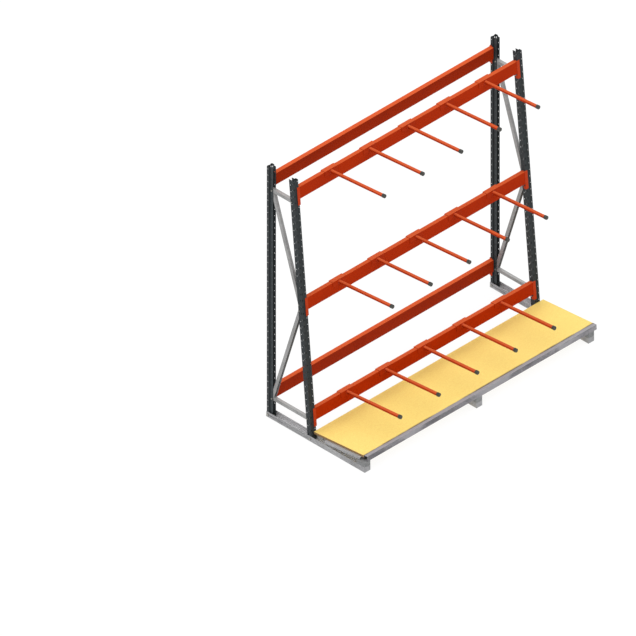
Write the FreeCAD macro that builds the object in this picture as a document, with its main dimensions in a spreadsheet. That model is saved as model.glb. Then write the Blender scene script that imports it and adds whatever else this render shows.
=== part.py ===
import FreeCAD, Part
import Sketcher
import math
import os
from FreeCAD import Placement, Rotation, Vector

# Leaning-face cantilever rack, one bay.  Two A-shaped side frames stand in
# floor channels; the front post of each frame leans back by a few degrees.
# Box beams join the frames, round arms hang on the three front beams, and a
# sloping chipboard deck closes the foot of the leaning face.
#
# Rack coordinates used below (mm): X along the beams, 0 at mid bay; Y to the
# rear, 0 at the front ends of the floor channels; Z up from the floor.
# The leaning face has its own pair: n outward from the face, s up along it.
# The row frame is the rack frame moved by (-row_x, -row_y).

os.makedirs("parts", exist_ok=True)
doc = FreeCAD.newDocument("LeaningFaceRack")

# --------------------------------------------------------------- dimensions
LEAN = 5.0
CELLS = [
    ("row_x", 13.5), ("row_y", 615.0),
    ("lean", LEAN), ("lean_sin", round(math.sin(math.radians(LEAN)), 9)), ("lean_cos", round(math.cos(math.radians(LEAN)), 9)),
    ("bay_half", 1395.0),
    # posts
    ("post_w", 64.0), ("post_side", 30.0), ("post_d", 64.0), ("post_wall", 2.0), ("neck_half", 19.0), ("post_top", 2700.0), ("rear_top", 2703.0),
    ("rib_half", 9.0), ("rib_run", 4.0), ("rib_in", 5.0), ("pitch", 67.5), ("slot_x", 19.5), ("slot_w", 9.0), ("slot_tall", 20.0), ("slot_front", 110.5), ("slot_rear", 105.5),
    ("side_hole_in", 11.0), ("bolt_in", 50.0), ("bolt_hole_r", 4.5), ("neck_hole_down", 32.0),
    ("foot_y", 664.0), ("rear_face", 1225.0), ("foot_lift", 3.4),
    # floor channels
    ("chan_half", 35.5), ("chan_tall", 55.0), ("chan_wall", 3.0), ("chan_len", 1230.0), ("mid_len", 640.0),
    ("anchor_r", 7.0), ("anchor_front", 800.0), ("anchor_rear", 1130.0),
    ("base_bolt_r", 6.0), ("base_hole_r", 6.5), ("base_bolt_z", 27.0), ("base_bolt_in", 16.0), ("base_bolt_s", 30.0),
    # beams
    ("beam_half", 1355.0), ("beam_d", 45.0), ("beam_h", 125.0), ("beam_wall", 1.6), ("beam_r", 4.0),
    ("lvl_bottom", 195.0), ("lvl_middle", 1342.5), ("lvl_top", 2490.0), ("rlvl_bottom", 190.0), ("rlvl_top", 2485.0),
    # end connectors
    ("con_h", 185.0), ("con_rise", 5.0), ("con_t", 4.0), ("con_leg", 31.0), ("con_side", 27.0), ("con_gap", 0.4), ("hook_t", 4.0), ("hook_h", 16.0), ("hook_reach", 8.0), ("hook_first", 38.0),
    ("pin_r", 3.5), ("pin_hole_r", 4.0), ("pin_up", 38.0),
    # arms
    ("arm_pitch", 480.0), ("saddle_w", 160.0), ("saddle_t", 4.0), ("saddle_gap", 0.4), ("saddle_drop", 50.0), ("saddle_lip", 26.0),
    ("arm_r", 16.85), ("arm_wall", 2.6), ("arm_end", 672.5), ("arm_down", 21.0),
    ("cap_r", 19.0), ("cap_in_r", 16.9), ("cap_start", 648.0), ("cap_end", 676.0), ("cap_floor", 672.8),
    # braces
    ("brace_w", 33.4), ("diag_w", 28.6), ("brace_h", 34.0), ("brace_wall", 2.0), ("brace_over", 14.0), ("diag_over", 9.0),
    ("level_low", 208.5), ("level_high", 2454.0), ("diag_up_z", 1388.0), ("diag_down_z", 1327.0),
    ("m8_r", 4.0), ("m8_af", 13.0), ("m8_head", 5.5), ("m8_nut", 6.5), ("spacer_r", 8.0), ("spacer_in", 4.6),
    ("m12_af", 19.0), ("m12_head", 7.5), ("m12_nut", 10.0),
    # deck
    ("deck_left", -1395.0), ("deck_right", 1465.0), ("deck_s", 94.0), ("deck_t", 22.0), ("deck_n0", 2.0), ("deck_n1", 627.5),
    ("rail_n1", 670.0), ("rail_t", 2.5), ("rail_step", 628.0), ("rail_bottom", 46.0), ("rail_n0", 600.0),
    ("rr_n0", 100.0), ("rr_n1", 156.0), ("rr_s0", 46.9), ("rr_t", 2.0),
    ("bearer_half", 25.0), ("bearer_n0", 158.0), ("bearer_n1", 599.5), ("bearer_s0", 48.8), ("bearer_t", 2.5),
    ("pack_y0", 0.5), ("pack_y1", 100.0), ("pack_z0", 55.3), ("pack_s", 45.7), ("pack_t", 3.0),
]

sheet = doc.addObject("Spreadsheet::Sheet", "dims")
sheet.Label = "dims"
for row, (alias, number) in enumerate(CELLS, start=1):
    sheet.set("A%d" % row, alias)
    sheet.set("B%d" % row, repr(number))
    sheet.setAlias("B%d" % row, alias)
doc.recompute()


class Q:
    """A size together with the spreadsheet formula that gives it."""

    def __init__(self, v, e):
        self.v = float(v)
        self.e = e

    @staticmethod
    def of(o):
        return o if isinstance(o, Q) else Q(o, "(%r)" % float(o))

    def __add__(self, o):
        o = Q.of(o)
        return Q(self.v + o.v, "(%s + %s)" % (self.e, o.e))

    def __sub__(self, o):
        o = Q.of(o)
        return Q(self.v - o.v, "(%s - %s)" % (self.e, o.e))

    def __mul__(self, o):
        o = Q.of(o)
        return Q(self.v * o.v, "(%s * %s)" % (self.e, o.e))

    def __truediv__(self, o):
        o = Q.of(o)
        return Q(self.v / o.v, "(%s / %s)" % (self.e, o.e))

    def __radd__(self, o):
        return Q.of(o) + self

    def __rsub__(self, o):
        return Q.of(o) - self

    def __rmul__(self, o):
        return Q.of(o) * self

    def __neg__(self):
        return Q(0, "(0)") - self


class Dims:
    pass


D = Dims()
for alias, number in CELLS:
    setattr(D, alias, Q(number, "dims." + alias))
ZERO = Q(0, "(0)")

# the lower end of a front post is at this s, so that its rear edge clears the channel floor
post_s0 = D.foot_lift / D.lean_cos + D.post_d * D.lean_sin / D.lean_cos


def face_y(s, n):
    return D.foot_y + D.lean_sin * s - D.lean_cos * n


def face_z(s, n):
    return D.lean_cos * s + D.lean_sin * n


# ------------------------------------------------------------------ helpers
def place(obj, x, y, z, axis=None, angle=None):
    """Bind an object's placement: rack coordinates, less the row origin."""
    x, y, z = Q.of(x) - D.row_x, Q.of(y) - D.row_y, Q.of(z)
    rot = Rotation(axis, angle.v) if axis is not None else Rotation()
    obj.Placement = Placement(Vector(x.v, y.v, z.v), rot)
    obj.setExpression("Placement.Base.x", x.e)
    obj.setExpression("Placement.Base.y", y.e)
    obj.setExpression("Placement.Base.z", z.e)
    if axis is not None:
        obj.setExpression("Placement.Rotation.Angle", angle.e)


def place_leaning(obj, x=ZERO):
    """The piece's own x, y, z are then along X, into the face (-n) and up it (s)."""
    place(obj, x, D.foot_y, ZERO, Vector(-1, 0, 0), D.lean)


def rotated(obj, x, y, z, rot):
    """Like place, for a turn made of two, which has no single sheet angle."""
    x, y, z = Q.of(x) - D.row_x, Q.of(y) - D.row_y, Q.of(z)
    obj.Placement = Placement(Vector(x.v, y.v, z.v), rot)
    obj.setExpression("Placement.Base.x", x.e)
    obj.setExpression("Placement.Base.y", y.e)
    obj.setExpression("Placement.Base.z", z.e)


def body(name):
    b = doc.addObject("PartDesign::Body", name)
    b.Label = name
    return b


def origin_item(b, role):
    return [f for f in b.Origin.OriginFeatures if f.Role == role][0]


def sketch(b, role, name, off=None):
    sk = b.newObject("Sketcher::SketchObject", name)
    sk.AttachmentSupport = [(origin_item(b, role), "")]
    sk.MapMode = "FlatFace"
    if off is not None:
        off = Q.of(off)
        sk.AttachmentOffset = Placement(Vector(0, 0, off.v), Rotation())
        sk.setExpression("AttachmentOffset.Base.z", off.e)
    return sk


def fix(sk, kind, a, value):
    """One dimension from the sketch origin (or a radius), bound to the sheet."""
    value = Q.of(value)
    if kind == "Radius":
        i = sk.addConstraint(Sketcher.Constraint("Radius", a[0], value.v))
    else:
        i = sk.addConstraint(Sketcher.Constraint(kind, -1, 1, a[0], a[1], value.v))
    if "dims." in value.e:
        sk.setExpression("Constraints[%d]" % i, value.e)


def polygon(sk, pts):
    pts = [(Q.of(x), Q.of(y)) for x, y in pts]
    g0, n = sk.GeometryCount, len(pts)
    vs = [Vector(x.v, y.v, 0) for x, y in pts]
    sk.addGeometry([Part.LineSegment(vs[i], vs[(i + 1) % n]) for i in range(n)], False)
    sk.addConstraint([Sketcher.Constraint("Coincident", g0 + i, 2, g0 + (i + 1) % n, 1) for i in range(n)])
    for i, (x, y) in enumerate(pts):
        fix(sk, "DistanceX", (g0 + i, 1), x)
        fix(sk, "DistanceY", (g0 + i, 1), y)


def box2(sk, x0, x1, y0, y1):
    polygon(sk, [(x0, y0), (x1, y0), (x1, y1), (x0, y1)])


def circle(sk, x, y, r):
    x, y, r = Q.of(x), Q.of(y), Q.of(r)
    g = sk.addGeometry(Part.Circle(Vector(x.v, y.v, 0), Vector(0, 0, 1), r.v), False)
    fix(sk, "DistanceX", (g, 3), x)
    fix(sk, "DistanceY", (g, 3), y)
    fix(sk, "Radius", (g,), r)


def obround(sk, x, y, w, tall):
    """An upright slot centred on (x, y), w wide and tall high over its round ends."""
    x, y, r = Q.of(x), Q.of(y), Q.of(w) / 2
    up, dn = y + (Q.of(tall) / 2 - r), y - (Q.of(tall) / 2 - r)
    g = sk.GeometryCount
    sk.addGeometry(Part.ArcOfCircle(Part.Circle(Vector(x.v, up.v, 0), Vector(0, 0, 1), r.v), 0, math.pi), False)
    sk.addGeometry(Part.LineSegment(Vector(x.v - r.v, up.v, 0), Vector(x.v - r.v, dn.v, 0)), False)
    sk.addGeometry(Part.ArcOfCircle(Part.Circle(Vector(x.v, dn.v, 0), Vector(0, 0, 1), r.v), math.pi, 2 * math.pi), False)
    sk.addGeometry(Part.LineSegment(Vector(x.v + r.v, dn.v, 0), Vector(x.v + r.v, up.v, 0)), False)
    sk.addConstraint([
        Sketcher.Constraint("Tangent", g, 2, g + 1, 1), Sketcher.Constraint("Tangent", g + 1, 2, g + 2, 1),
        Sketcher.Constraint("Tangent", g + 2, 2, g + 3, 1), Sketcher.Constraint("Tangent", g + 3, 2, g, 1),
        Sketcher.Constraint("Vertical", g + 1),
    ])
    fix(sk, "Radius", (g,), r)
    fix(sk, "DistanceX", (g, 3), x)
    fix(sk, "DistanceY", (g, 3), up)
    fix(sk, "DistanceY", (g + 2, 3), dn)


def pad(b, sk, length, mid=False, back=False, name="Pad"):
    length = Q.of(length)
    p = b.newObject("PartDesign::Pad", name)
    p.Profile = sk
    p.Length = length.v
    p.setExpression("Length", length.e)
    p.Midplane = mid
    p.Reversed = back
    sk.Visibility = False
    return p


def pocket(b, sk, length=None, mid=True, back=False, name="Pocket"):
    before = b.Shape.Volume
    c = b.newObject("PartDesign::Pocket", name)
    c.Profile = sk
    if length is None:
        c.Type = 1
    else:
        length = Q.of(length)
        c.Type = 0
        c.Length = length.v
        c.setExpression("Length", length.e)
    c.Midplane = mid
    c.Reversed = back
    doc.recompute()
    if not b.Shape.Volume < before - 1e-3:
        raise RuntimeError("%s in %s cuts nothing" % (name, b.Label))
    return c


def pattern(b, feature, role, length, count, name="LinearPattern"):
    length = Q.of(length)
    lp = b.newObject("PartDesign::LinearPattern", name)
    lp.Originals = [feature]
    lp.Direction = (origin_item(b, role), [""])
    lp.Length = length.v
    lp.setExpression("Length", length.e)
    lp.Occurrences = count
    b.Tip = lp
    return lp


NODES = []


def keep(obj, label):
    obj.Label = label
    NODES.append((label, obj))
    return obj


def group(label, parts):
    """Several separate solids of one kind, kept as one node."""
    for p in parts:
        p.Visibility = False
    c = doc.addObject("Part::Compound", label)
    c.Links = parts
    return keep(c, label)


def cylinder(name, r, length, x, y, z, axis=None, angle=None):
    r, length = Q.of(r), Q.of(length)
    c = doc.addObject("Part::Cylinder", name)
    c.Radius, c.Height = r.v, length.v
    c.setExpression("Radius", r.e)
    c.setExpression("Height", length.e)
    place(c, x, y, z, axis, angle)
    return c


def hexagon(name, af, length, x, y, z, axis, angle):
    """A hexagonal bolt head or nut blank, af across its flats."""
    circ, length = Q.of(af) * 0.577350269, Q.of(length)
    h = doc.addObject("Part::Prism", name)
    h.Polygon = 6
    h.Circumradius, h.Height = circ.v, length.v
    h.setExpression("Circumradius", circ.e)
    h.setExpression("Height", length.e)
    place(h, x, y, z, axis, angle)
    return h


def fuse(name, parts):
    f = doc.addObject("Part::MultiFuse", name)
    f.Shapes = parts
    for p in parts:
        p.Visibility = False
    return f


def cut(name, base, tool):
    c = doc.addObject("Part::Cut", name)
    c.Base, c.Tool = base, tool
    base.Visibility = tool.Visibility = False
    return c


ALONG_X = (Vector(0, 1, 0), Q(90, "(90)"))  # turns a cylinder's own Z to +X
BACK_X = (Vector(0, -1, 0), Q(90, "(90)"))  # and to -X
SIDES = [("left", -1), ("right", 1)]


def frame_x(sign):
    return D.bay_half * sign


# -------------------------------------------------------------------- posts
def post_section(sk):
    """Hat section: a ribbed web, a side on each edge of it, shoulders inward
    and two narrow flanges that the braces are bolted between."""
    w, e, d, t, r = D.post_w / 2, D.post_side, D.post_d, D.post_wall, D.neck_half
    a, run, dip = D.rib_half, D.rib_run, D.rib_in
    polygon(sk, [
        (-w, 0), (-a - run, 0), (-a, dip), (a, dip), (a + run, 0), (w, 0), (w, e), (r, e), (r, d), (r - t, d), (r - t, e - t),
        (w - t, e - t), (w - t, t), (a + run + 1, t), (a + 1, dip + t), (-a - 1, dip + t), (-a - run - 1, t), (-w + t, t), (-w + t, e - t),
        (-r + t, e - t), (-r + t, d), (-r, d), (-r, e), (-w, e),
    ])


def perforate(b, first):
    """Two columns of slots in the web, one column of the same slots in each side,
    and one column of round holes in each narrow flange; first is the height of
    the lowest slots."""
    sk = sketch(b, "XZ_Plane", "WebSlots")
    for side in (-1, 1):
        obround(sk, D.slot_x * side, first, D.slot_w, D.slot_tall)
    doc.recompute()
    c = pocket(b, sk, D.post_wall * 4, name="WebSlotPocket")
    pattern(b, c, "Z_Axis", D.pitch * 38, 39, "WebSlotRows")
    doc.recompute()
    sk = sketch(b, "YZ_Plane", "SideSlots")
    obround(sk, D.side_hole_in, first, D.slot_w, D.slot_tall)
    doc.recompute()
    c = pocket(b, sk, D.post_w * 2, name="SideSlotPocket")
    pattern(b, c, "Z_Axis", D.pitch * 38, 39, "SideSlotRows")
    doc.recompute()
    sk = sketch(b, "YZ_Plane", "NeckHoles")
    circle(sk, D.bolt_in, first + D.pitch - D.neck_hole_down, D.bolt_hole_r)
    doc.recompute()
    c = pocket(b, sk, D.post_w * 2, name="NeckHolePocket")
    pattern(b, c, "Z_Axis", D.pitch * 37, 38, "NeckHoleRows")
    doc.recompute()


def side_holes(b, holes, r, name):
    sk = sketch(b, "YZ_Plane", name)
    for y, z in holes:
        circle(sk, y, z, r)
    doc.recompute()
    pocket(b, sk, D.post_w * 2, name=name + "Pocket")


def on_face(z):
    """s on the leaning face of a brace bolt at height z, bolt_in behind the face."""
    return (Q.of(z) + D.lean_sin * D.bolt_in) / D.lean_cos


for word, sign in SIDES:
    b = body("rear_post_" + word)
    sk = sketch(b, "XY_Plane", "Section", D.chan_wall + 0.4)
    post_section(sk)
    pad(b, sk, D.rear_top - D.chan_wall - 0.4, name="Post")
    doc.recompute()
    perforate(b, D.slot_rear)
    side_holes(b, [(D.bolt_in, D.level_high)], D.bolt_hole_r, "BraceHoles")  # the lower brace uses a hole of the row
    side_holes(b, [(D.base_bolt_in, D.base_bolt_z)], D.base_hole_r, "BaseHole")
    place(b, frame_x(sign), D.rear_face, ZERO, Vector(0, 0, 1), Q(180, "(180)"))
    keep(b, "rear_post_" + word)

    b = body("front_post_" + word)
    sk = sketch(b, "XY_Plane", "Section", post_s0)
    post_section(sk)
    pad(b, sk, D.post_top - post_s0, name="Post")
    doc.recompute()
    perforate(b, D.slot_front)
    side_holes(b, [(D.bolt_in, on_face(v)) for v in (D.level_high, D.diag_up_z, D.diag_down_z)], D.bolt_hole_r, "BraceHoles")
    side_holes(b, [(D.base_bolt_in, D.base_bolt_s)], D.base_hole_r, "BaseHole")
    place_leaning(b, frame_x(sign))
    keep(b, "front_post_" + word)


# ----------------------------------------------------------- floor channels
def channel(name, x, length, framed):
    b = body(name)
    h, t, w = D.chan_tall, D.chan_wall, D.chan_half
    sk = sketch(b, "XZ_Plane", "Section", -length)
    polygon(sk, [(-w, 0), (w, 0), (w, h), (w - t, h), (w - t, t), (-w + t, t), (-w + t, h), (-w, h)])
    pad(b, sk, length, name="Channel")
    sk = sketch(b, "XZ_Plane", "FrontFlap", -t)
    box2(sk, -w, w, 0, h)
    pad(b, sk, t, name="FrontFlapPad")
    if not framed:
        sk = sketch(b, "XZ_Plane", "RearFlap", -length)
        box2(sk, -w, w, 0, h)
        pad(b, sk, t, name="RearFlapPad")
    doc.recompute()
    if framed:
        sk = sketch(b, "XY_Plane", "AnchorHoles")
        for y in (D.anchor_front, D.anchor_rear):
            circle(sk, 0, y, D.anchor_r)
        doc.recompute()
        pocket(b, sk, D.chan_wall * 4, name="AnchorPocket")
        sk = sketch(b, "YZ_Plane", "BaseBoltHoles")
        circle(sk, D.rear_face - D.base_bolt_in, D.base_bolt_z, D.base_hole_r)
        circle(sk, face_y(D.base_bolt_s, -D.base_bolt_in), face_z(D.base_bolt_s, -D.base_bolt_in), D.base_hole_r)
        doc.recompute()
        pocket(b, sk, D.chan_half * 4, name="BaseBoltPocket")
    place(b, x, ZERO, ZERO)
    keep(b, name)


channel("base_channel_left", frame_x(-1), D.chan_len, True)
channel("base_channel_right", frame_x(1), D.chan_len, True)
channel("middle_foot_channel", ZERO, D.mid_len, False)


# -------------------------------------------------------------------- beams
def beam(name, y0, z0):
    """Box beam; y0 is its near face and z0 its underside, in its own frame."""
    b = body(name)
    sk = sketch(b, "YZ_Plane", "Outside")
    y1, z1 = y0 + D.beam_d, z0 + D.beam_h
    box2(sk, y0, y1, z0, z1)
    pad(b, sk, D.beam_half * 2, mid=True, name="Beam")
    doc.recompute()
    solid = b.Tip
    edges = [i + 1 for i, e in enumerate(solid.Shape.Edges) if e.Length > 1000]
    f = b.newObject("PartDesign::Fillet", "Corners")
    f.Base = (solid, ["Edge%d" % i for i in edges])
    f.Radius = D.beam_r.v
    f.setExpression("Radius", D.beam_r.e)
    b.Tip = f
    doc.recompute()
    t = D.beam_wall
    sk = sketch(b, "YZ_Plane", "Bore")
    box2(sk, y0 + t, y1 - t, z0 + t, z1 - t)
    doc.recompute()
    pocket(b, sk, D.beam_half * 3, name="BorePocket")
    return b


for word, level in (("top", D.rlvl_top), ("bottom", D.rlvl_bottom)):
    b = beam("rear_beam_" + word, D.rear_face - D.beam_d, level)
    place(b, ZERO, ZERO, ZERO)
    keep(b, "rear_beam_" + word)
for word, level in (("top", D.lvl_top), ("middle", D.lvl_middle), ("bottom", D.lvl_bottom)):
    b = beam("front_beam_" + word, ZERO, level)
    place_leaning(b)
    keep(b, "front_beam_" + word)


# ----------------------------------------------------------- end connectors
def connector(name, sign, level):
    """Folded angle on a beam end: one leg beside the post, one over its web,
    with a row of hooks through the web slots.  Own frame: x from the post's
    middle, y into the post from its web, z up."""
    b = body(name)
    hi = level + D.beam_h + D.con_rise
    lo = hi - D.con_h
    inner = (D.bay_half - D.beam_half) * -sign  # the beam end, seen from the post's middle
    g, t = D.con_gap, D.con_t
    sk = sketch(b, "XY_Plane", "Angle", lo)
    a, c, e = inner, inner + t * sign, inner + D.con_leg * sign
    polygon(sk, [(a, -g - t), (e, -g - t), (e, -g), (c, -g), (c, D.con_side), (a, D.con_side)])
    pad(b, sk, D.con_h, name="AnglePad")
    doc.recompute()
    sk = sketch(b, "XZ_Plane", "Hook", g)
    x = D.slot_x * -sign
    box2(sk, x - D.hook_t / 2, x + D.hook_t / 2, lo + D.hook_first - D.hook_h / 2, lo + D.hook_first + D.hook_h / 2)
    p = pad(b, sk, D.hook_reach + g, back=True, name="HookPad")
    doc.recompute()
    pattern(b, p, "Z_Axis", D.pitch * 2, 3, "Hooks")
    doc.recompute()
    sk = sketch(b, "YZ_Plane", "PinHole", inner + t * 0.5 * sign)
    circle(sk, D.side_hole_in, lo + D.pin_up, D.pin_hole_r)
    doc.recompute()
    pocket(b, sk, t * 3, name="PinHolePocket")
    return b


front_cons, rear_cons, pins = [], [], []


def pin(name, sign, y, z, x):
    """Push-in safety pin: shank through the connector and the post side, round head."""
    face = x - sign * (D.bay_half - D.beam_half)  # outer side of the connector's side leg
    turn = Q(90.0 * sign, "(%r)" % (90.0 * sign))
    shank = cylinder(name + "_shank", D.pin_r, 16.0, face - 2.0 * sign, y, z, Vector(0, 1, 0), turn)
    head = cylinder(name + "_head", 7.0, 3.2, face - 3.4 * sign, y, z, Vector(0, 1, 0), turn)
    pins.append(fuse(name, [shank, head]))


for word, level in (("top", D.lvl_top), ("middle", D.lvl_middle), ("bottom", D.lvl_bottom)):
    for side, sign in SIDES:
        name = "front_%s_connector_%s" % (word, side)
        b = connector(name, sign, level)
        place_leaning(b, frame_x(sign))
        front_cons.append(b)
        s = level + D.beam_h + D.con_rise - D.con_h + D.pin_up
        pin("front_%s_pin_%s" % (word, side), sign, face_y(s, -D.side_hole_in), face_z(s, -D.side_hole_in), frame_x(sign))
for word, level in (("top", D.rlvl_top), ("bottom", D.rlvl_bottom)):
    for side, sign in SIDES:
        name = "rear_%s_connector_%s" % (word, side)
        b = connector(name, -sign, level)  # turned half round, so the hand swaps
        place(b, frame_x(sign), D.rear_face, ZERO, Vector(0, 0, 1), Q(180, "(180)"))
        rear_cons.append(b)
        z = level + D.beam_h + D.con_rise - D.con_h + D.pin_up
        pin("rear_%s_pin_%s" % (word, side), sign, D.rear_face - D.side_hole_in, z, frame_x(sign))
group("front_beam_connectors", front_cons)
group("rear_beam_connectors", rear_cons)
group("safety_pins", pins)


# --------------------------------------------------------------------- arms
def arm(level_word, level, k):
    """A bent saddle plate that hooks over the beam, with a tube welded to its front."""
    label = "%s_arm_%d" % (level_word, k)
    x = D.arm_pitch * (k - 3)
    top, g, t = level + D.beam_h, D.saddle_gap, D.saddle_t
    saddle = body(label + "_saddle")
    sk = sketch(saddle, "YZ_Plane", "Hook")
    y0, y1 = -g - t, D.beam_d + g + t
    polygon(sk, [
        (y0, top - D.saddle_drop), (y0, top + g + t), (y1, top + g + t), (y1, top - D.saddle_lip), (y1 - t, top - D.saddle_lip),
        (y1 - t, top + g), (y0 + t, top + g), (y0 + t, top - D.saddle_drop),
    ])
    pad(saddle, sk, D.saddle_w, mid=True, name="SaddlePad")
    place_leaning(saddle, x)
    tube = body(label + "_tube")
    sk = sketch(tube, "XZ_Plane", "Ring", g + t)
    circle(sk, 0, top - D.arm_down, D.arm_r)
    circle(sk, 0, top - D.arm_down, D.arm_r - D.arm_wall)
    pad(tube, sk, D.arm_end - g - t, name="TubePad")
    place_leaning(tube, x)
    group(label, [saddle, tube])

    cap = body("%s_cap_%d" % (level_word, k))
    sk = sketch(cap, "XZ_Plane", "Outside", D.cap_start)
    circle(sk, 0, top - D.arm_down, D.cap_r)
    pad(cap, sk, D.cap_end - D.cap_start, name="CapPad")
    doc.recompute()
    sk = sketch(cap, "XZ_Plane", "Socket", D.cap_floor)
    circle(sk, 0, top - D.arm_down, D.cap_in_r)
    doc.recompute()
    pocket(cap, sk, D.cap_floor - D.cap_start + 1, mid=False, name="SocketPocket")
    solid = cap.Tip
    far = [i + 1 for i, e in enumerate(solid.Shape.Edges)
           if hasattr(e.Curve, "Radius") and abs(e.Curve.Radius - D.cap_r.v) < 1e-6 and abs(e.CenterOfMass.y + D.cap_end.v) < 1e-3]
    f = cap.newObject("PartDesign::Fillet", "Nose")
    f.Base = (solid, ["Edge%d" % i for i in far])
    f.Radius = 2.4
    cap.Tip = f
    place_leaning(cap, x)
    keep(cap, "%s_arm_cap_%d" % (level_word, k))


for word, level in (("top", D.lvl_top), ("middle", D.lvl_middle), ("bottom", D.lvl_bottom)):
    for k in range(1, 6):
        arm(word, level, k)


# ------------------------------------------------------------------- braces
def brace(name, width, over, x, p, q, flip):
    """U-section brace between bolt centres p and q, given as (y, z) pairs.
    Own frame: x along it, y across the frame, z in the frame's plane; the
    closed web is on the +z side, or on the -z side where flip is set."""
    dy, dz = q[0].v - p[0].v, q[1].v - p[1].v
    run = math.hypot(dy, dz)
    b = body(name)
    w, t, h = Q.of(width) / 2, D.brace_wall, D.brace_h / 2
    k = -1 if flip else 1
    sk = sketch(b, "YZ_Plane", "Section", -over)
    polygon(sk, [(-w, -h * k), (-w, h * k), (w, h * k), (w, -h * k), (w - t, -h * k), (w - t, (h - t) * k), (-w + t, (h - t) * k), (-w + t, -h * k)])
    pad(b, sk, over * 2 + run, name="BracePad")
    doc.recompute()
    sk = sketch(b, "XZ_Plane", "BoltHoles")
    circle(sk, 0, 0, D.bolt_hole_r)
    circle(sk, run, 0, D.bolt_hole_r)
    doc.recompute()
    pocket(b, sk, Q.of(width) * 2, name="BoltHolePocket")
    phi = math.degrees(math.atan2(dz, dy))
    rotated(b, x, p[0], p[1], Rotation(Vector(1, 0, 0), phi).multiply(Rotation(Vector(0, 0, 1), 90)))
    return b


def rear_point(z):
    return (D.rear_face - D.bolt_in, Q.of(z))


def front_point(z):
    s = on_face(z)
    return (face_y(s, -D.bolt_in), face_z(s, -D.bolt_in))


bolts, nuts, spacers = [], [], []
for side, sign in SIDES:
    x = frame_x(sign)
    low = brace("lower_brace_" + side, D.diag_w, D.diag_over, x, front_point(D.level_low), rear_point(D.level_low), False)
    high = brace("upper_brace_" + side, D.brace_w, D.brace_over, x, front_point(D.level_high), rear_point(D.level_high), False)
    group("horizontal_braces_" + side, [low, high])
    d_up = brace("upper_diagonal_" + side, D.diag_w, D.diag_over, x, front_point(D.diag_up_z), rear_point(D.level_high), False)
    d_dn = brace("lower_diagonal_" + side, D.brace_w, D.brace_over, x, rear_point(D.level_low), front_point(D.diag_down_z), True)
    group("diagonal_braces_" + side, [d_up, d_dn])
    spots = [
        ("rear_low", rear_point(D.level_low), D.brace_w), ("front_low", front_point(D.level_low), D.diag_w),
        ("rear_high", rear_point(D.level_high), D.brace_w), ("front_high", front_point(D.level_high), D.brace_w),
        ("diag_up", front_point(D.diag_up_z), D.diag_w), ("diag_down", front_point(D.diag_down_z), D.brace_w),
    ]
    half = D.neck_half
    # the heads are on the bay's side of each frame, in the gap beside the beam ends
    turn = ALONG_X if sign > 0 else BACK_X
    for spot, (y, z), width in spots:
        name = "%s_%s" % (spot, side)
        near, far = x - half * sign, x + half * sign
        shank = cylinder("m8_shank_" + name, D.m8_r, half * 2 + D.m8_nut + 4, near - 1 * sign, y, z, *turn)
        head = hexagon("m8_head_" + name, D.m8_af, D.m8_head, near - D.m8_head * sign, y, z, *turn)
        bolts.append(fuse("m8_bolt_" + name, [shank, head]))
        blank = hexagon("m8_blank_" + name, D.m8_af, D.m8_nut, far, y, z, *turn)
        bore = cylinder("m8_bore_" + name, D.m8_r + 0.03, D.m8_nut + 2, far - 1 * sign, y, z, *turn)
        nuts.append(cut("m8_nut_" + name, blank, bore))
        if spot not in ("front_low", "diag_up"):  # the others fill the neck of the post
            continue
        gap = half - D.post_wall - width / 2
        for end, start in (("a", x - half + D.post_wall), ("b", x + width / 2)):
            outer = cylinder("sleeve_o_%s_%s" % (name, end), D.spacer_r, gap - 0.2, start + 0.1, y, z, *ALONG_X)
            inner = cylinder("sleeve_i_%s_%s" % (name, end), D.spacer_in, gap + 2, start - 1, y, z, *ALONG_X)
            spacers.append(cut("sleeve_%s_%s" % (name, end), outer, inner))
group("brace_bolts", bolts)
group("brace_nuts", nuts)
group("brace_spacer_sleeves", spacers)

base_bolts, base_nuts = [], []
for side, sign in SIDES:
    x, half = frame_x(sign), D.chan_half
    for spot, y, z in (("rear", D.rear_face - D.base_bolt_in, D.base_bolt_z),
                       ("front", face_y(D.base_bolt_s, -D.base_bolt_in), face_z(D.base_bolt_s, -D.base_bolt_in))):
        name = "%s_%s" % (spot, side)
        shank = cylinder("m12_shank_" + name, D.base_bolt_r, half * 2 + D.m12_nut + 4, x - half - 1, y, z, *ALONG_X)
        head = hexagon("m12_head_" + name, D.m12_af, D.m12_head, x - half - D.m12_head, y, z, *ALONG_X)
        base_bolts.append(fuse("m12_bolt_" + name, [shank, head]))
        blank = hexagon("m12_blank_" + name, D.m12_af, D.m12_nut, x + half, y, z, *ALONG_X)
        bore = cylinder("m12_bore_" + name, D.base_bolt_r + 0.03, D.m12_nut + 2, x + half - 1, y, z, *ALONG_X)
        base_nuts.append(cut("m12_nut_" + name, blank, bore))
group("base_bolts", base_bolts)
group("base_nuts", base_nuts)

# --------------------------------------------------------------------- deck
deck_len = D.deck_right - D.deck_left
b = body("deck_board")
sk = sketch(b, "YZ_Plane", "Section", D.deck_left)
box2(sk, -D.deck_n1, -D.deck_n0, D.deck_s - D.deck_t, D.deck_s)
pad(b, sk, deck_len, name="BoardPad")
place_leaning(b)
keep(b, "deck_board")

# front rail: a closed step section; the board's front edge lies on its step
b = body("deck_front_rail")
sk = sketch(b, "YZ_Plane", "Section", D.deck_left)
n1, n2, n0, t, low = D.rail_n1, D.rail_step, D.rail_n0, D.rail_t, D.rail_bottom
top, step = D.deck_s + D.rail_t, D.deck_s - D.deck_t
polygon(sk, [(-n1, low), (-n0, low), (-n0, step), (-n2, step), (-n2, top), (-n1, top)])
polygon(sk, [(-n1 + t, low + t), (-n0 - t, low + t), (-n0 - t, step - t), (-n2 - t, step - t), (-n2 - t, top - t), (-n1 + t, top - t)])
pad(b, sk, deck_len, name="RailPad")
place_leaning(b)
keep(b, "deck_front_rail")

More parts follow.
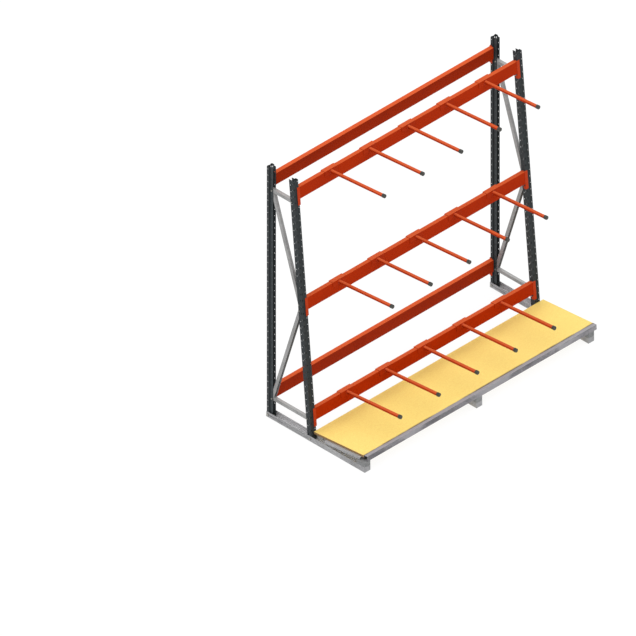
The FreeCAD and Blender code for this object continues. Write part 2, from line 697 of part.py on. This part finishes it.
# rear rail: a hat section under the board, resting on the channels
b = body("deck_rear_rail")
sk = sketch(b, "YZ_Plane", "Section", D.deck_left)
a, c, lo, hi, t = -D.rr_n1, -D.rr_n0, D.rr_s0, D.deck_s - D.deck_t, D.rr_t
polygon(sk, [
    (a, lo), (a + 12, lo), (a + 12, hi - t), (c - 12, hi - t), (c - 12, lo), (c, lo), (c, lo + t), (c - 12 + t, lo + t),
    (c - 12 + t, hi), (a + 12 - t, hi), (a + 12 - t, lo + t), (a, lo + t),
])
pad(b, sk, deck_len, name="RearRailPad")
place_leaning(b)
keep(b, "deck_rear_rail")

feet = [("left", frame_x(-1)), ("middle", ZERO), ("right", frame_x(1))]
bearers, packers = [], []
for word, x in feet:
    # bearer: inverted channel that carries the board from the rear rail to the front rail
    b = body("deck_bearer_" + word)
    sk = sketch(b, "XZ_Plane", "Section", D.bearer_n0)
    w, t, lo, hi = D.bearer_half, D.bearer_t, D.bearer_s0, D.deck_s - D.deck_t
    polygon(sk, [(-w, lo), (-w + t, lo), (-w + t, hi - t), (w - t, hi - t), (w - t, lo), (w, lo), (w, hi), (-w, hi)])
    pad(b, sk, D.bearer_n1 - D.bearer_n0, name="BearerPad")
    place_leaning(b, x)
    bearers.append(b)
    # packer: a folded box, open underneath, that lifts the front of the deck
    b = body("deck_packer_" + word)
    rise = D.lean_sin / D.lean_cos
    base = D.lean_cos * D.pack_s + rise * (D.foot_y + D.lean_sin * D.pack_s)
    sk = sketch(b, "YZ_Plane", "Outside")
    polygon(sk, [(D.pack_y0, D.pack_z0), (D.pack_y1, D.pack_z0), (D.pack_y1, base - rise * D.pack_y1), (D.pack_y0, base - rise * D.pack_y0)])
    pad(b, sk, D.chan_half * 2, mid=True, name="PackerPad")
    doc.recompute()
    sk = sketch(b, "YZ_Plane", "Inside")
    y0, y1, t = D.pack_y0 + D.pack_t, D.pack_y1 - D.pack_t, D.pack_t
    polygon(sk, [(y0, D.pack_z0 - 1), (y1, D.pack_z0 - 1), (y1, base - rise * y1 - t), (y0, base - rise * y0 - t)])
    doc.recompute()
    pocket(b, sk, D.chan_half * 2 - t * 2, name="PackerPocket")
    place(b, x, ZERO, ZERO)
    packers.append(b)
group("deck_bearers", bearers)
group("deck_packers", packers)

# ------------------------------------------------------------ check, export
doc.recompute()
for obj in doc.Objects:
    bad = [w for w in obj.State if w in ("Invalid", "Error")]
    if bad:
        raise RuntimeError("%s (%s) is %s" % (obj.Label, obj.TypeId, bad))
total = FreeCAD.BoundBox()
for label, obj in NODES:
    shape = obj.Shape
    if shape.isNull() or not shape.isValid() or not shape.Solids:
        raise RuntimeError("%s has no valid shape" % label)
    total.add(shape.BoundBox)
for label, obj in NODES:
    obj.Shape.exportStep("parts/%s.step" % label)
    print("%-26s %3d solids %10.0f mm3" % (label, len(obj.Shape.Solids), obj.Shape.Volume))
print("%d nodes; box X %.2f..%.2f Y %.2f..%.2f Z %.2f..%.2f" % (len(NODES), total.XMin, total.XMax, total.YMin, total.YMax, total.ZMin, total.ZMax))
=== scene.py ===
import math

import bmesh
import bpy
from mathutils import Matrix, Vector


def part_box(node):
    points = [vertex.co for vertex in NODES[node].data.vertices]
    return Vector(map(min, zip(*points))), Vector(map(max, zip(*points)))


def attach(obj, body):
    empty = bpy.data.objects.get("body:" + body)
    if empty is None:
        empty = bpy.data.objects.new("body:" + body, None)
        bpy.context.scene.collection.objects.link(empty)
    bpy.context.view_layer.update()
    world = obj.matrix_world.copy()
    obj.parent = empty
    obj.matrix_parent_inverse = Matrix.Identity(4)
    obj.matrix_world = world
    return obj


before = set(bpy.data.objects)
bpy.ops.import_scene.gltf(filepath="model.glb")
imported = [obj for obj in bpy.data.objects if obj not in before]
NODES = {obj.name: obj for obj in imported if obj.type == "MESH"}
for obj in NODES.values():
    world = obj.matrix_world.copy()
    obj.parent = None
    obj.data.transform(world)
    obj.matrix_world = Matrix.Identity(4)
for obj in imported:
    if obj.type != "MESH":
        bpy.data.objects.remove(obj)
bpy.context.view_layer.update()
LEAN = math.radians(5.0)
S_DIR = Vector((0, math.sin(LEAN), math.cos(LEAN)))    # up the leaning face
N_DIR = Vector((0, -math.cos(LEAN), math.sin(LEAN)))   # out of it, along the arms
PREFIXES = ("top", "middle", "bottom")


# ------------------------------------------------------------------ materials
class Mat:
    """A node material with a Principled shader and a short way to add nodes."""

    def __init__(self, name):
        self.m = bpy.data.materials.new(name)
        self.m.use_nodes = True
        self.t = self.m.node_tree
        self.t.nodes.clear()
        self.out = self.n("ShaderNodeOutputMaterial")
        self.p = self.n("ShaderNodeBsdfPrincipled")
        self.t.links.new(self.p.outputs[0], self.out.inputs[0])
        self.co = self.n("ShaderNodeTexCoord").outputs["Object"]

    def n(self, kind, **sets):
        node = self.t.nodes.new(kind)
        for k, v in sets.items():
            setattr(node, k, v)
        return node

    def put(self, socket, value):
        if hasattr(value, "links") or isinstance(value, bpy.types.NodeSocket):
            self.t.links.new(value, socket)
        else:
            socket.default_value = value

    def noise(self, scale, detail=3.0, rough=0.5, co=None, dim="3D"):
        node = self.n("ShaderNodeTexNoise", noise_dimensions=dim)
        node.inputs["Scale"].default_value = scale
        node.inputs["Detail"].default_value = detail
        node.inputs["Roughness"].default_value = rough
        self.t.links.new(co or self.co, node.inputs["Vector"])
        return node.outputs["Fac"]

    def voronoi(self, scale, out="Color", feature="F1", co=None, rand=1.0):
        node = self.n("ShaderNodeTexVoronoi", feature=feature)
        node.inputs["Scale"].default_value = scale
        node.inputs["Randomness"].default_value = rand
        self.t.links.new(co or self.co, node.inputs["Vector"])
        return node.outputs[out]

    def ramp(self, fac, stops, kind="LINEAR"):
        node = self.n("ShaderNodeValToRGB")
        node.color_ramp.interpolation = kind
        els = node.color_ramp.elements
        while len(els) < len(stops):
            els.new(0.5)
        for el, (pos, col) in zip(els, stops):
            el.position = pos
            el.color = (*col, 1.0) if hasattr(col, "__len__") else (col, col, col, 1.0)
        self.put(node.inputs["Fac"], fac)
        return node.outputs["Color"]

    def mix(self, fac, a, b, blend="MIX"):
        node = self.n("ShaderNodeMix", data_type="RGBA", blend_type=blend)
        self.put(node.inputs[0], fac)
        self.put(node.inputs[6], (*a, 1.0) if isinstance(a, tuple) else a)
        self.put(node.inputs[7], (*b, 1.0) if isinstance(b, tuple) else b)
        return node.outputs[2]

    def math(self, op, a, b=0.0, clamp=False):
        node = self.n("ShaderNodeMath", operation=op, use_clamp=clamp)
        self.put(node.inputs[0], a)
        self.put(node.inputs[1], b)
        return node.outputs[0]

    def span(self, v, a0, a1, b0, b1):
        node = self.n("ShaderNodeMapRange")
        self.put(node.inputs["Value"], v)
        for k, x in (("From Min", a0), ("From Max", a1), ("To Min", b0), ("To Max", b1)):
            node.inputs[k].default_value = x
        return node.outputs[0]

    def scaled(self, sx, sy, sz, rot=(0, 0, 0)):
        node = self.n("ShaderNodeMapping")
        node.inputs["Scale"].default_value = (sx, sy, sz)
        node.inputs["Rotation"].default_value = rot
        self.t.links.new(self.co, node.inputs["Vector"])
        return node.outputs[0]

    def facing(self, direction):
        """How far the surface's own normal points along a fixed direction, -1 to 1."""
        g = self.n("ShaderNodeNewGeometry")
        node = self.n("ShaderNodeVectorMath", operation="DOT_PRODUCT")
        self.t.links.new(g.outputs["Normal"], node.inputs[0])
        node.inputs[1].default_value = direction
        return node.outputs["Value"]

    def bump(self, height, strength, distance, below=None):
        node = self.n("ShaderNodeBump")
        node.inputs["Strength"].default_value = strength
        node.inputs["Distance"].default_value = distance
        self.put(node.inputs["Height"], height)
        if below is not None:
            self.t.links.new(below, node.inputs["Normal"])
        return node.outputs["Normal"]

    def set(self, **values):
        names = {"color": "Base Color", "rough": "Roughness", "metal": "Metallic", "normal": "Normal",
                 "coat": "Coat Weight", "coat_rough": "Coat Roughness", "spec": "Specular IOR Level"}
        for k, v in values.items():
            self.put(self.p.inputs[names[k]], (*v, 1.0) if isinstance(v, tuple) and k == "color" else v)
        return self.m


def powder(name, base, deep, dust, top, rough=0.46, spec=0.02, up0=0.25, up1=0.80, inside=None):
    """Powder coat: a slightly uneven colour, fine orange peel and rubbed streaks. Surfaces that
    face up carry a painted highlight in a lighter top colour, and faces that look down a painted shade."""
    m = Mat(name)
    cloud = m.noise(3.2, 4, 0.55)
    tone = m.ramp(cloud, [(0.30, deep), (0.62, base)])
    fine = m.noise(160, 2, 0.6)
    tone = m.mix(m.span(fine, 0.3, 0.7, 0.0, 0.10), tone, tuple(min(1.0, c * 1.2 + 0.001) for c in base))
    rub = m.noise(1.0, 5, 0.65, co=m.scaled(9, 60, 60))
    rubbed = m.span(rub, 0.62, 0.80, 0.0, 0.16)
    tone = m.mix(rubbed, tone, dust)
    # painted highlight: faces that look up are mixed toward the lighter top colour
    painted_top_light = m.math("MULTIPLY", m.span(m.facing((0, 0, 1)), up0, up1, 0.0, 1.0), m.span(m.noise(14, 3, 0.6), 0.25, 0.75, 0.86, 1.0))
    tone = m.mix(painted_top_light, tone, top)
    # painted shade: faces that look down are mixed toward a darker tone
    under = m.span(m.facing((0, 0, -1)), 0.15, 0.7, 0.0, 0.35)
    tone = m.mix(under, tone, tuple(c * 0.6 for c in deep))
    if inside:
        # painted light: faces inside a post's open side that look along -X are lightened, as if lit through the slots
        place = m.n("ShaderNodeSeparateXYZ")
        m.t.links.new(m.co, place.inputs[0])
        off = m.math("ABSOLUTE", m.math("SUBTRACT", place.outputs[0], inside))
        painted_inner_light = m.math("MULTIPLY", m.span(off, 0.0300, 0.0310, 0.45, 0.0), m.span(m.facing((-1, 0, 0)), 0.5, 0.9, 0.0, 1.0))
        tone = m.mix(painted_inner_light, tone, tuple(c * 2.1 for c in base))
    peel = m.noise(620, 2, 0.5)
    r = m.math("ADD", m.span(cloud, 0.3, 0.7, rough - 0.05, rough + 0.06), m.math("MULTIPLY", rubbed, 0.35))
    normal = m.bump(peel, 0.22, 0.0003)
    return m.set(color=tone, rough=r, normal=normal, spec=spec)


def galvanised(name, light, dark, metal=0.35, rough=0.44, spangle=70, top_light_gain=1.2, bands=0.6, along=3.4, hi=(0.50, 0.72), lo=(0.26, 0.46), gap_shade=None, inside=None):
    """Hot-dip zinc: crystal spangles in near greys, a dull film over them, and thin drawn lines."""
    m = Mat(name)
    cells = m.voronoi(spangle, "Color")
    sep = m.n("ShaderNodeSeparateColor")
    m.t.links.new(cells, sep.inputs[0])
    grey = m.ramp(sep.outputs[0], [(0.0, dark), (0.45, tuple((a + b) / 2 for a, b in zip(light, dark))), (1.0, light)])
    small = m.voronoi(spangle * 3.1, "Color")
    sep2 = m.n("ShaderNodeSeparateColor")
    m.t.links.new(small, sep2.inputs[0])
    grey = m.mix(m.span(sep2.outputs[1], 0, 1, 0.0, 0.28), grey, dark)
    film = m.noise(1.0, 4, 0.6, co=m.scaled(along, 5.0, 5.0))
    grey = m.mix(m.span(film, *hi, 0.0, bands), grey, tuple(min(1, c * 1.35) for c in light))
    grey = m.mix(m.span(film, *lo, bands, 0.0), grey, tuple(c * 0.72 for c in dark))
    drawn = m.noise(1.0, 3, 0.6, co=m.scaled(2.2, 90, 90))
    grey = m.mix(m.span(drawn, 0.52, 0.74, 0.0, 0.30), grey, tuple(min(1, c * 1.25) for c in light))
    tint = m.noise(11, 2, 0.5)
    grey = m.mix(m.span(tint, 0.4, 0.7, 0.0, 0.12), grey, (light[0] * 0.95, light[1] * 0.9, light[2] * 1.05))
    # painted highlight: faces that look up are lifted toward a lighter grey
    up = m.span(m.facing((0, 0, 1)), 0.3, 0.8, 0.0, 1.0)
    grey = m.mix(up, grey, tuple(min(1, c * top_light_gain) for c in light))
    if gap_shade:
        # painted shade: a dark line in the corner where the board ends at the rail
        across = m.n("ShaderNodeVectorMath", operation="DOT_PRODUCT")
        m.t.links.new(m.co, across.inputs[0])
        across.inputs[1].default_value = tuple(N_DIR)
        gap_shade_mask = m.span(across.outputs["Value"], gap_shade[0], gap_shade[1], 0.90, 0.0)
        gap_shade_mask = m.math("MULTIPLY", gap_shade_mask, m.span(m.noise(1.0, 3, 0.6, co=m.scaled(3.0, 1, 1)), 0.40, 0.58, 0.25, 1.0))
        grey = m.mix(m.math("MULTIPLY", gap_shade_mask, up), grey, (0.13, 0.105, 0.075))
    if inside:
        # painted light: the inner faces of a channel are lightened to a bright zinc
        place = m.n("ShaderNodeSeparateXYZ")
        m.t.links.new(m.co, place.inputs[0])
        off = m.math("ABSOLUTE", m.math("SUBTRACT", place.outputs[0], inside))
        painted_inner_light = m.math("MULTIPLY", m.span(off, 0.0330, 0.0340, 1.0, 0.0), m.span(m.facing((0, -1, 0)), 0.3, 0.6, 1.0, 0.0))
        grey = m.mix(painted_inner_light, grey, tuple(min(1, c * 1.9) for c in light))
    r = m.span(sep.outputs[1], 0, 1, rough - 0.08, rough + 0.10)
    normal = m.bump(m.noise(380, 3, 0.6), 0.12, 0.0003)
    return m.set(color=grey, rough=r, metal=metal, normal=normal, spec=0.3)


ORANGE = powder("OrangePowderCoat", (0.425, 0.0265, 0.0014), (0.380, 0.0220, 0.0010), (0.50, 0.045, 0.007), (0.64, 0.104, 0.031))
# painted shade: the rear beams are a darker copy of the same orange, with a lighter painted top
ORANGE_REAR_SHADED = powder("OrangePowderCoatRearShaded", (0.345, 0.0235, 0.0014), (0.300, 0.0190, 0.0010), (0.42, 0.042, 0.006), (0.69, 0.112, 0.034))
# painted highlight: the connectors are a lighter copy of the same orange
ORANGE_CON_HIGHLIT = powder("OrangeConnectorCoatHighlit", (0.50, 0.050, 0.013), (0.45, 0.042, 0.010), (0.56, 0.075, 0.022), (0.68, 0.11, 0.035), rough=0.42)
ORANGE_ARM = powder("OrangeArmCoat", (0.420, 0.0290, 0.0030), (0.370, 0.0230, 0.0020), (0.50, 0.050, 0.010), (0.64, 0.108, 0.034), rough=0.40, up0=0.20, up1=0.75)
ANTHRACITE = powder("AnthracitePowderCoat", (0.038, 0.044, 0.047), (0.031, 0.036, 0.038), (0.075, 0.080, 0.082), (0.085, 0.090, 0.092), rough=0.52, spec=0.10)
# the rear posts carry painted light on the inner faces of their open side
ANTHRACITE_REAR = {side: powder("AnthraciteRear" + side.capitalize(), (0.038, 0.044, 0.047), (0.031, 0.036, 0.038), (0.075, 0.080, 0.082), (0.085, 0.090, 0.092), rough=0.52, spec=0.10, inside=x)
                   for side, x in (("left", -1.4085), ("right", 1.3815))}
GALV = galvanised("GalvanisedSteel", (0.37, 0.37, 0.375), (0.28, 0.28, 0.285))
GALV_RAIL = galvanised("GalvanisedRail", (0.262, 0.255, 0.268), (0.165, 0.159, 0.170), top_light_gain=1.62, bands=0.85, along=2.6, hi=(0.50, 0.60), lo=(0.36, 0.48), gap_shade=(0.5850, 0.5935))
# the channels carry painted light on their inner faces
GALV_CHANNEL = {side: galvanised("GalvanisedChannel" + side.capitalize(), (0.37, 0.37, 0.375), (0.28, 0.28, 0.285), inside=x)
                for side, x in (("left", -1.4085), ("right", 1.3815))}
GALV_LIGHT = galvanised("GalvanisedBrace", (0.34, 0.34, 0.335), (0.26, 0.26, 0.255), spangle=90, top_light_gain=1.45)
GALV_DARK = galvanised("GalvanisedPacker", (0.245, 0.25, 0.25), (0.175, 0.18, 0.18), metal=0.3, rough=0.5)
ZINC = galvanised("ZincPlate", (0.42, 0.41, 0.37), (0.30, 0.30, 0.28), metal=0.7, rough=0.40, spangle=240)


def chipboard():
    """Pressed chips: pale yellow faces with flakes of several sizes, and open brown edges."""
    m = Mat("Chipboard")
    flake = m.voronoi(1.0, "Color", co=m.scaled(110, 210, 210))
    sep = m.n("ShaderNodeSeparateColor")
    m.t.links.new(flake, sep.inputs[0])
    top = m.ramp(sep.outputs[0], [(0.0, (0.93, 0.66, 0.168)), (0.5, (0.97, 0.715, 0.188)), (1.0, (1.0, 0.77, 0.215))])
    cross = m.voronoi(1.0, "Color", co=m.scaled(260, 120, 260, (0, 0, 0.6)))
    sep2 = m.n("ShaderNodeSeparateColor")
    m.t.links.new(cross, sep2.inputs[0])
    top = m.mix(m.span(sep2.outputs[1], 0.55, 1.0, 0.0, 0.30), top, (1.0, 0.79, 0.25))
    dark = m.noise(420, 2, 0.7)
    top = m.mix(m.span(dark, 0.66, 0.80, 0.0, 0.30), top, (0.62, 0.36, 0.10))
    cloud = m.noise(1.6, 3, 0.5)
    top = m.mix(m.span(cloud, 0.35, 0.70, 0.0, 0.22), top, (1.0, 0.72, 0.23))
    # painted shade: a dark line in the gap beside the front rail
    across = m.n("ShaderNodeVectorMath", operation="DOT_PRODUCT")
    m.t.links.new(m.co, across.inputs[0])
    across.inputs[1].default_value = tuple(N_DIR)
    gap_shade = m.span(across.outputs["Value"], 0.5630, 0.5740, 0.0, 1.0)
    gap_shade = m.math("MULTIPLY", gap_shade, m.span(m.noise(1.0, 3, 0.6, co=m.scaled(3.0, 1, 1)), 0.40, 0.60, 0.05, 0.60))
    top = m.mix(gap_shade, top, (0.16, 0.115, 0.050))
    edge = m.ramp(m.noise(240, 4, 0.7, co=m.scaled(1, 1, 2.2)), [(0.30, (0.10, 0.055, 0.022)), (0.55, (0.34, 0.20, 0.085)), (0.75, (0.52, 0.34, 0.16))])
    up = m.math("ABSOLUTE", m.facing(tuple(S_DIR)))
    on_edge = m.span(up, 0.4, 0.6, 1.0, 0.0)
    color = m.mix(on_edge, top, edge)
    grain = m.math("ADD", m.math("MULTIPLY", sep.outputs[1], 0.5), m.noise(300, 3, 0.6))
    normal = m.bump(grain, 0.25, 0.0005)
    return m.set(color=color, rough=m.span(cloud, 0.3, 0.7, 0.52, 0.66), normal=normal, spec=0.3)


BOARD = chipboard()


def plastic():
    m = Mat("CapPlastic")
    cloud = m.noise(60, 3, 0.5)
    tone = m.ramp(cloud, [(0.3, (0.026, 0.026, 0.021)), (0.7, (0.052, 0.052, 0.042))])
    scuff = m.noise(1, 4, 0.7, co=m.scaled(300, 40, 300))
    tone = m.mix(m.span(scuff, 0.60, 0.75, 0.0, 0.3), tone, (0.10, 0.10, 0.09))
    return m.set(color=tone, rough=m.span(cloud, 0.3, 0.7, 0.42, 0.58), normal=m.bump(m.noise(900, 2, 0.5), 0.25, 0.0002), spec=0.5)


CAP = plastic()


def weld_coat():
    """Weld bead under powder coat: the coat is smoother and a little darker in the ripples."""
    m = Mat("CoatedWeld")
    n = m.noise(140, 3, 0.6)
    tone = m.ramp(n, [(0.3, (0.36, 0.024, 0.003)), (0.7, (0.54, 0.045, 0.008))])
    return m.set(color=tone, rough=m.span(n, 0.3, 0.7, 0.34, 0.5), normal=m.bump(m.noise(260, 2, 0.5), 0.3, 0.0006), spec=0.25)


WELD = weld_coat()


def assign(node, mat):
    o = NODES[node]
    for s in o.material_slots:
        s.material = mat
    if not o.material_slots:
        o.data.materials.append(mat)


def soften(node, width, segments=2, angle=35):
    """A small rounding of a CAD node's sharp edges, as rolled and coated metal has."""
    o = NODES[node]
    join = o.modifiers.new("Joined", "WELD")
    join.merge_threshold = 0.00001
    b = o.modifiers.new("Rounded", "BEVEL")
    b.width = width
    b.segments = segments
    b.limit_method = "ANGLE"
    b.angle_limit = math.radians(angle)
    b.harden_normals = True
    b.use_clamp_overlap = True


for w in ("top", "bottom"):
    assign("rear_beam_" + w, ORANGE_REAR_SHADED)
for w in PREFIXES:
    assign("front_beam_" + w, ORANGE)
for w in ("front", "rear"):
    assign(w + "_beam_connectors", ORANGE_CON_HIGHLIT)
for side in ("left", "right"):
    assign("rear_post_" + side, ANTHRACITE_REAR[side])
    assign("front_post_" + side, ANTHRACITE)
    assign("base_channel_" + side, GALV_CHANNEL[side])
    assign("horizontal_braces_" + side, GALV_LIGHT)
    assign("diagonal_braces_" + side, GALV_LIGHT)
for n in ("middle_foot_channel", "deck_rear_rail", "deck_bearers"):
    assign(n, GALV)
assign("deck_front_rail", GALV_RAIL)
assign("safety_pins", ANTHRACITE)
assign("deck_packers", GALV_DARK)
assign("deck_board", BOARD)
for n in ("brace_bolts", "brace_nuts", "brace_spacer_sleeves", "base_bolts", "base_nuts"):
    assign(n, ZINC)
for w in PREFIXES:
    for k in range(1, 6):
        assign("%s_arm_%d" % (w, k), ORANGE_ARM)
        assign("%s_arm_cap_%d" % (w, k), CAP)
        soften("%s_arm_%d" % (w, k), 0.0009)
for n in ("deck_front_rail", "base_channel_left", "base_channel_right", "middle_foot_channel", "deck_packers"):
    soften(n, 0.0011)
for n in ("front_beam_connectors", "rear_beam_connectors"):
    soften(n, 0.0008)
soften("deck_board", 0.0006, 1)


# ------------------------------------------------------------- mesh helpers
def new_mesh(name, verts, faces, mat, smooth=True):
    me = bpy.data.meshes.new(name)
    me.from_pydata([tuple(v) for v in verts], [], faces)
    me.validate()
    bm = bmesh.new()
    bm.from_mesh(me)
    bmesh.ops.recalc_face_normals(bm, faces=bm.faces)
    bm.to_mesh(me)
    bm.free()
    for p in me.polygons:
        p.use_smooth = smooth
    me.materials.append(mat)
    o = bpy.data.objects.new(name, me)
    bpy.context.scene.collection.objects.link(o)
    return o


def ring_bead(name, centre, axis, radius, size, mat, turns=48, side=8):
    """A rippled weld bead round a tube, lying in the corner between tube and plate."""
    axis = axis.normalized()
    u = axis.orthogonal().normalized()
    v = axis.cross(u)
    verts, faces = [], []
    for i in range(turns):
        a = 2 * math.pi * i / turns
        swell = 1.0 + 0.10 * math.cos(i * math.pi) + 0.05 * math.sin(i * 1.7)
        out = u * math.cos(a) + v * math.sin(a)
        for j in range(side):
            b = 2 * math.pi * j / side
            r = radius + size * 0.45 * swell * (0.35 + math.cos(b))
            h = size * 0.45 * swell * (0.35 + math.sin(b))
            verts.append(centre + out * r + axis * h)
    for i in range(turns):
        for j in range(side):
            i2, j2 = (i + 1) % turns, (j + 1) % side
            faces.append((i * side + j, i2 * side + j, i2 * side + j2, i * side + j2))
    return new_mesh(name, verts, faces, mat)


# --------------------------------------------------------- welds on the arms
for w in PREFIXES:
    for k in range(1, 6):
        node = "%s_arm_%d" % (w, k)
        lo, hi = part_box("%s_arm_cap_%d" % (w, k))
        tip = (lo + hi) / 2
        # the tube's axis runs back from the cap's middle to the saddle's front plate
        root = tip - N_DIR * (0.662 - 0.0044)
        bead = ring_bead("weld_" + node, root, N_DIR, 0.01685, 0.0062, WELD)
        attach(bead, "arm_%s_%d" % (w, k))


def seam_bead(name, runs, size, mat, side=7):
    """Rippled fillet welds along straight runs; each run is (start, end, out_a, out_b), where
    the two outward directions are the faces that the bead lies against."""
    verts, faces = [], []
    for a, b, oa, ob in runs:
        steps = max(6, int((b - a).length / 0.0022))
        base = len(verts)
        for i in range(steps + 1):
            f = i / steps
            end = min(1.0, 6.0 * min(f, 1 - f) + 0.25)
            swell = (1.0 + 0.09 * math.sin(i * 1.9) + 0.05 * math.sin(i * 0.7 + 1.1)) * end
            c = a + (b - a) * f
            for j in range(side):
                q = 0.5 * math.pi * j / (side - 1)
                bulge = 1.0 + 0.16 * math.sin(2 * q)
                verts.append(c + oa * (size * swell * bulge * math.cos(q) * 0.86) + ob * (size * swell * bulge * math.sin(q) * 0.86))
            verts.append(c - oa * 0.0002 - ob * 0.0002)
        ring = side + 1
        for i in range(steps):
            for j in range(ring):
                p, q2 = base + i * ring, base + (i + 1) * ring
                j2 = (j + 1) % ring
                faces.append((p + j, q2 + j, q2 + j2, p + j2))
        faces.append(tuple(base + j for j in range(ring)))
        faces.append(tuple(base + steps * ring + j for j in range(ring - 1, -1, -1)))
    return new_mesh(name, verts, faces, mat)


BEAM_END, BEAM_H = 1.355, 0.125


def rack(x, y, z):
    """Rack coordinates in metres to the row's own frame."""
    return Vector((x - 0.0135, y - 0.615, z))


def face_at(x, s, n):
    return rack(x, 0.664, 0) + S_DIR * s + N_DIR * n


for w, level in (("top", 2.490), ("middle", 1.3425), ("bottom", 0.195)):
    for word, sign in (("left", -1), ("right", 1)):
        x, inward = BEAM_END * sign, Vector((-sign, 0, 0))
        runs = [
            (face_at(x, level + 0.006, 0), face_at(x, level + BEAM_H - 0.006, 0), inward, N_DIR),
            (face_at(x, level + BEAM_H, -0.006), face_at(x, level + BEAM_H, -0.026), inward, S_DIR),
            (face_at(x, level, -0.006), face_at(x, level, -0.026), inward, -S_DIR),
        ]
        bead = seam_bead("weld_front_%s_beam_%s" % (w, word), runs, 0.0036, WELD)
        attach(bead, "root")
for w, level in (("top", 2.485), ("bottom", 0.190)):
    for word, sign in (("left", -1), ("right", 1)):
        x, inward = BEAM_END * sign, Vector((-sign, 0, 0))
        back, up_z = Vector((0, 1, 0)), Vector((0, 0, 1))
        runs = [
            (rack(x, 1.225, level + 0.006), rack(x, 1.225, level + BEAM_H - 0.006), inward, back),
            (rack(x, 1.219, level + BEAM_H), rack(x, 1.199, level + BEAM_H), inward, up_z),
            (rack(x, 1.219, level), rack(x, 1.199, level), inward, -up_z),
        ]
        bead = seam_bead("weld_rear_%s_beam_%s" % (w, word), runs, 0.0036, WELD)
        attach(bead, "root")

# ---------------------------------------------------------------- the stage
floor_mesh = bpy.data.meshes.new("floor")
R = 60.0
floor_mesh.from_pydata([(-R, -R, -0.0004), (R, -R, -0.0004), (R, R, -0.0004), (-R, R, -0.0004)], [], [(0, 1, 2, 3)])
floor = bpy.data.objects.new("floor", floor_mesh)
bpy.context.scene.collection.objects.link(floor)
fm = Mat("StudioFloor")
grain = fm.noise(2.0, 3, 0.5)
fm.set(color=fm.ramp(grain, [(0.3, (0.125, 0.125, 0.125)), (0.7, (0.130, 0.130, 0.130))]), rough=0.9, spec=0.0)
# a back-lit studio table: it gives most of its own light, so shadows on it are faint
fm.put(fm.p.inputs["Emission Color"], fm.ramp(grain, [(0.3, (0.995, 0.995, 0.995)), (0.7, (1.0, 1.0, 1.0))]))
fm.p.inputs["Emission Strength"].default_value = 0.90
floor.data.materials.append(fm.m)

world = bpy.data.worlds.new("Studio")
bpy.context.scene.world = world
world.use_nodes = True
bg = world.node_tree.nodes["Background"]
bg.inputs[0].default_value = (1.0, 1.0, 1.0, 1.0)
bg.inputs[1].default_value = 0.36


def area(name, loc, target, size, power, color=(1, 1, 1)):
    d = bpy.data.lights.new(name, "AREA")
    d.shape = "SQUARE"
    d.size = size
    d.energy = power
    d.color = color
    o = bpy.data.objects.new(name, d)
    bpy.context.scene.collection.objects.link(o)
    o.location = loc
    o.rotation_euler = (Vector(target) - Vector(loc)).to_track_quat("-Z", "Y").to_euler()
    return o


sun = bpy.data.lights.new("Overhead", "SUN")
sun.energy = 2.7
sun.angle = math.radians(110)
so = bpy.data.objects.new("Overhead", sun)
bpy.context.scene.collection.objects.link(so)
so.rotation_euler = (Vector((0.18, 0.12, -1.0))).to_track_quat("-Z", "Y").to_euler()

# --------------------------------------------------------------- the camera
# true isometric: looks along (1, 1, -1), with no perspective
cam_data = bpy.data.cameras.new("Camera")
cam_data.type = "ORTHO"
cam_data.ortho_scale = 5.6085
cam = bpy.data.objects.new("Camera", cam_data)
bpy.context.scene.collection.objects.link(cam)
bpy.context.scene.camera = cam
right = Vector((1, -1, 0)).normalized()
up = Vector((1, 1, 2)).normalized()
look = Vector((1, 1, -1)).normalized()
corner = Vector((1.3465, -0.615, 0.0))           # left front corner of the right-hand channel
PX = cam_data.ortho_scale / 636
target = corner + right * (318 - 588.5) * PX + up * (343.8 - 318) * PX
cam.location = target - look * 12
cam.rotation_euler = look.to_track_quat("-Z", "Y").to_euler()
cam_data.clip_end = 60

bpy.context.scene.view_settings.view_transform = "Standard"
bpy.context.scene.view_settings.look = "None"
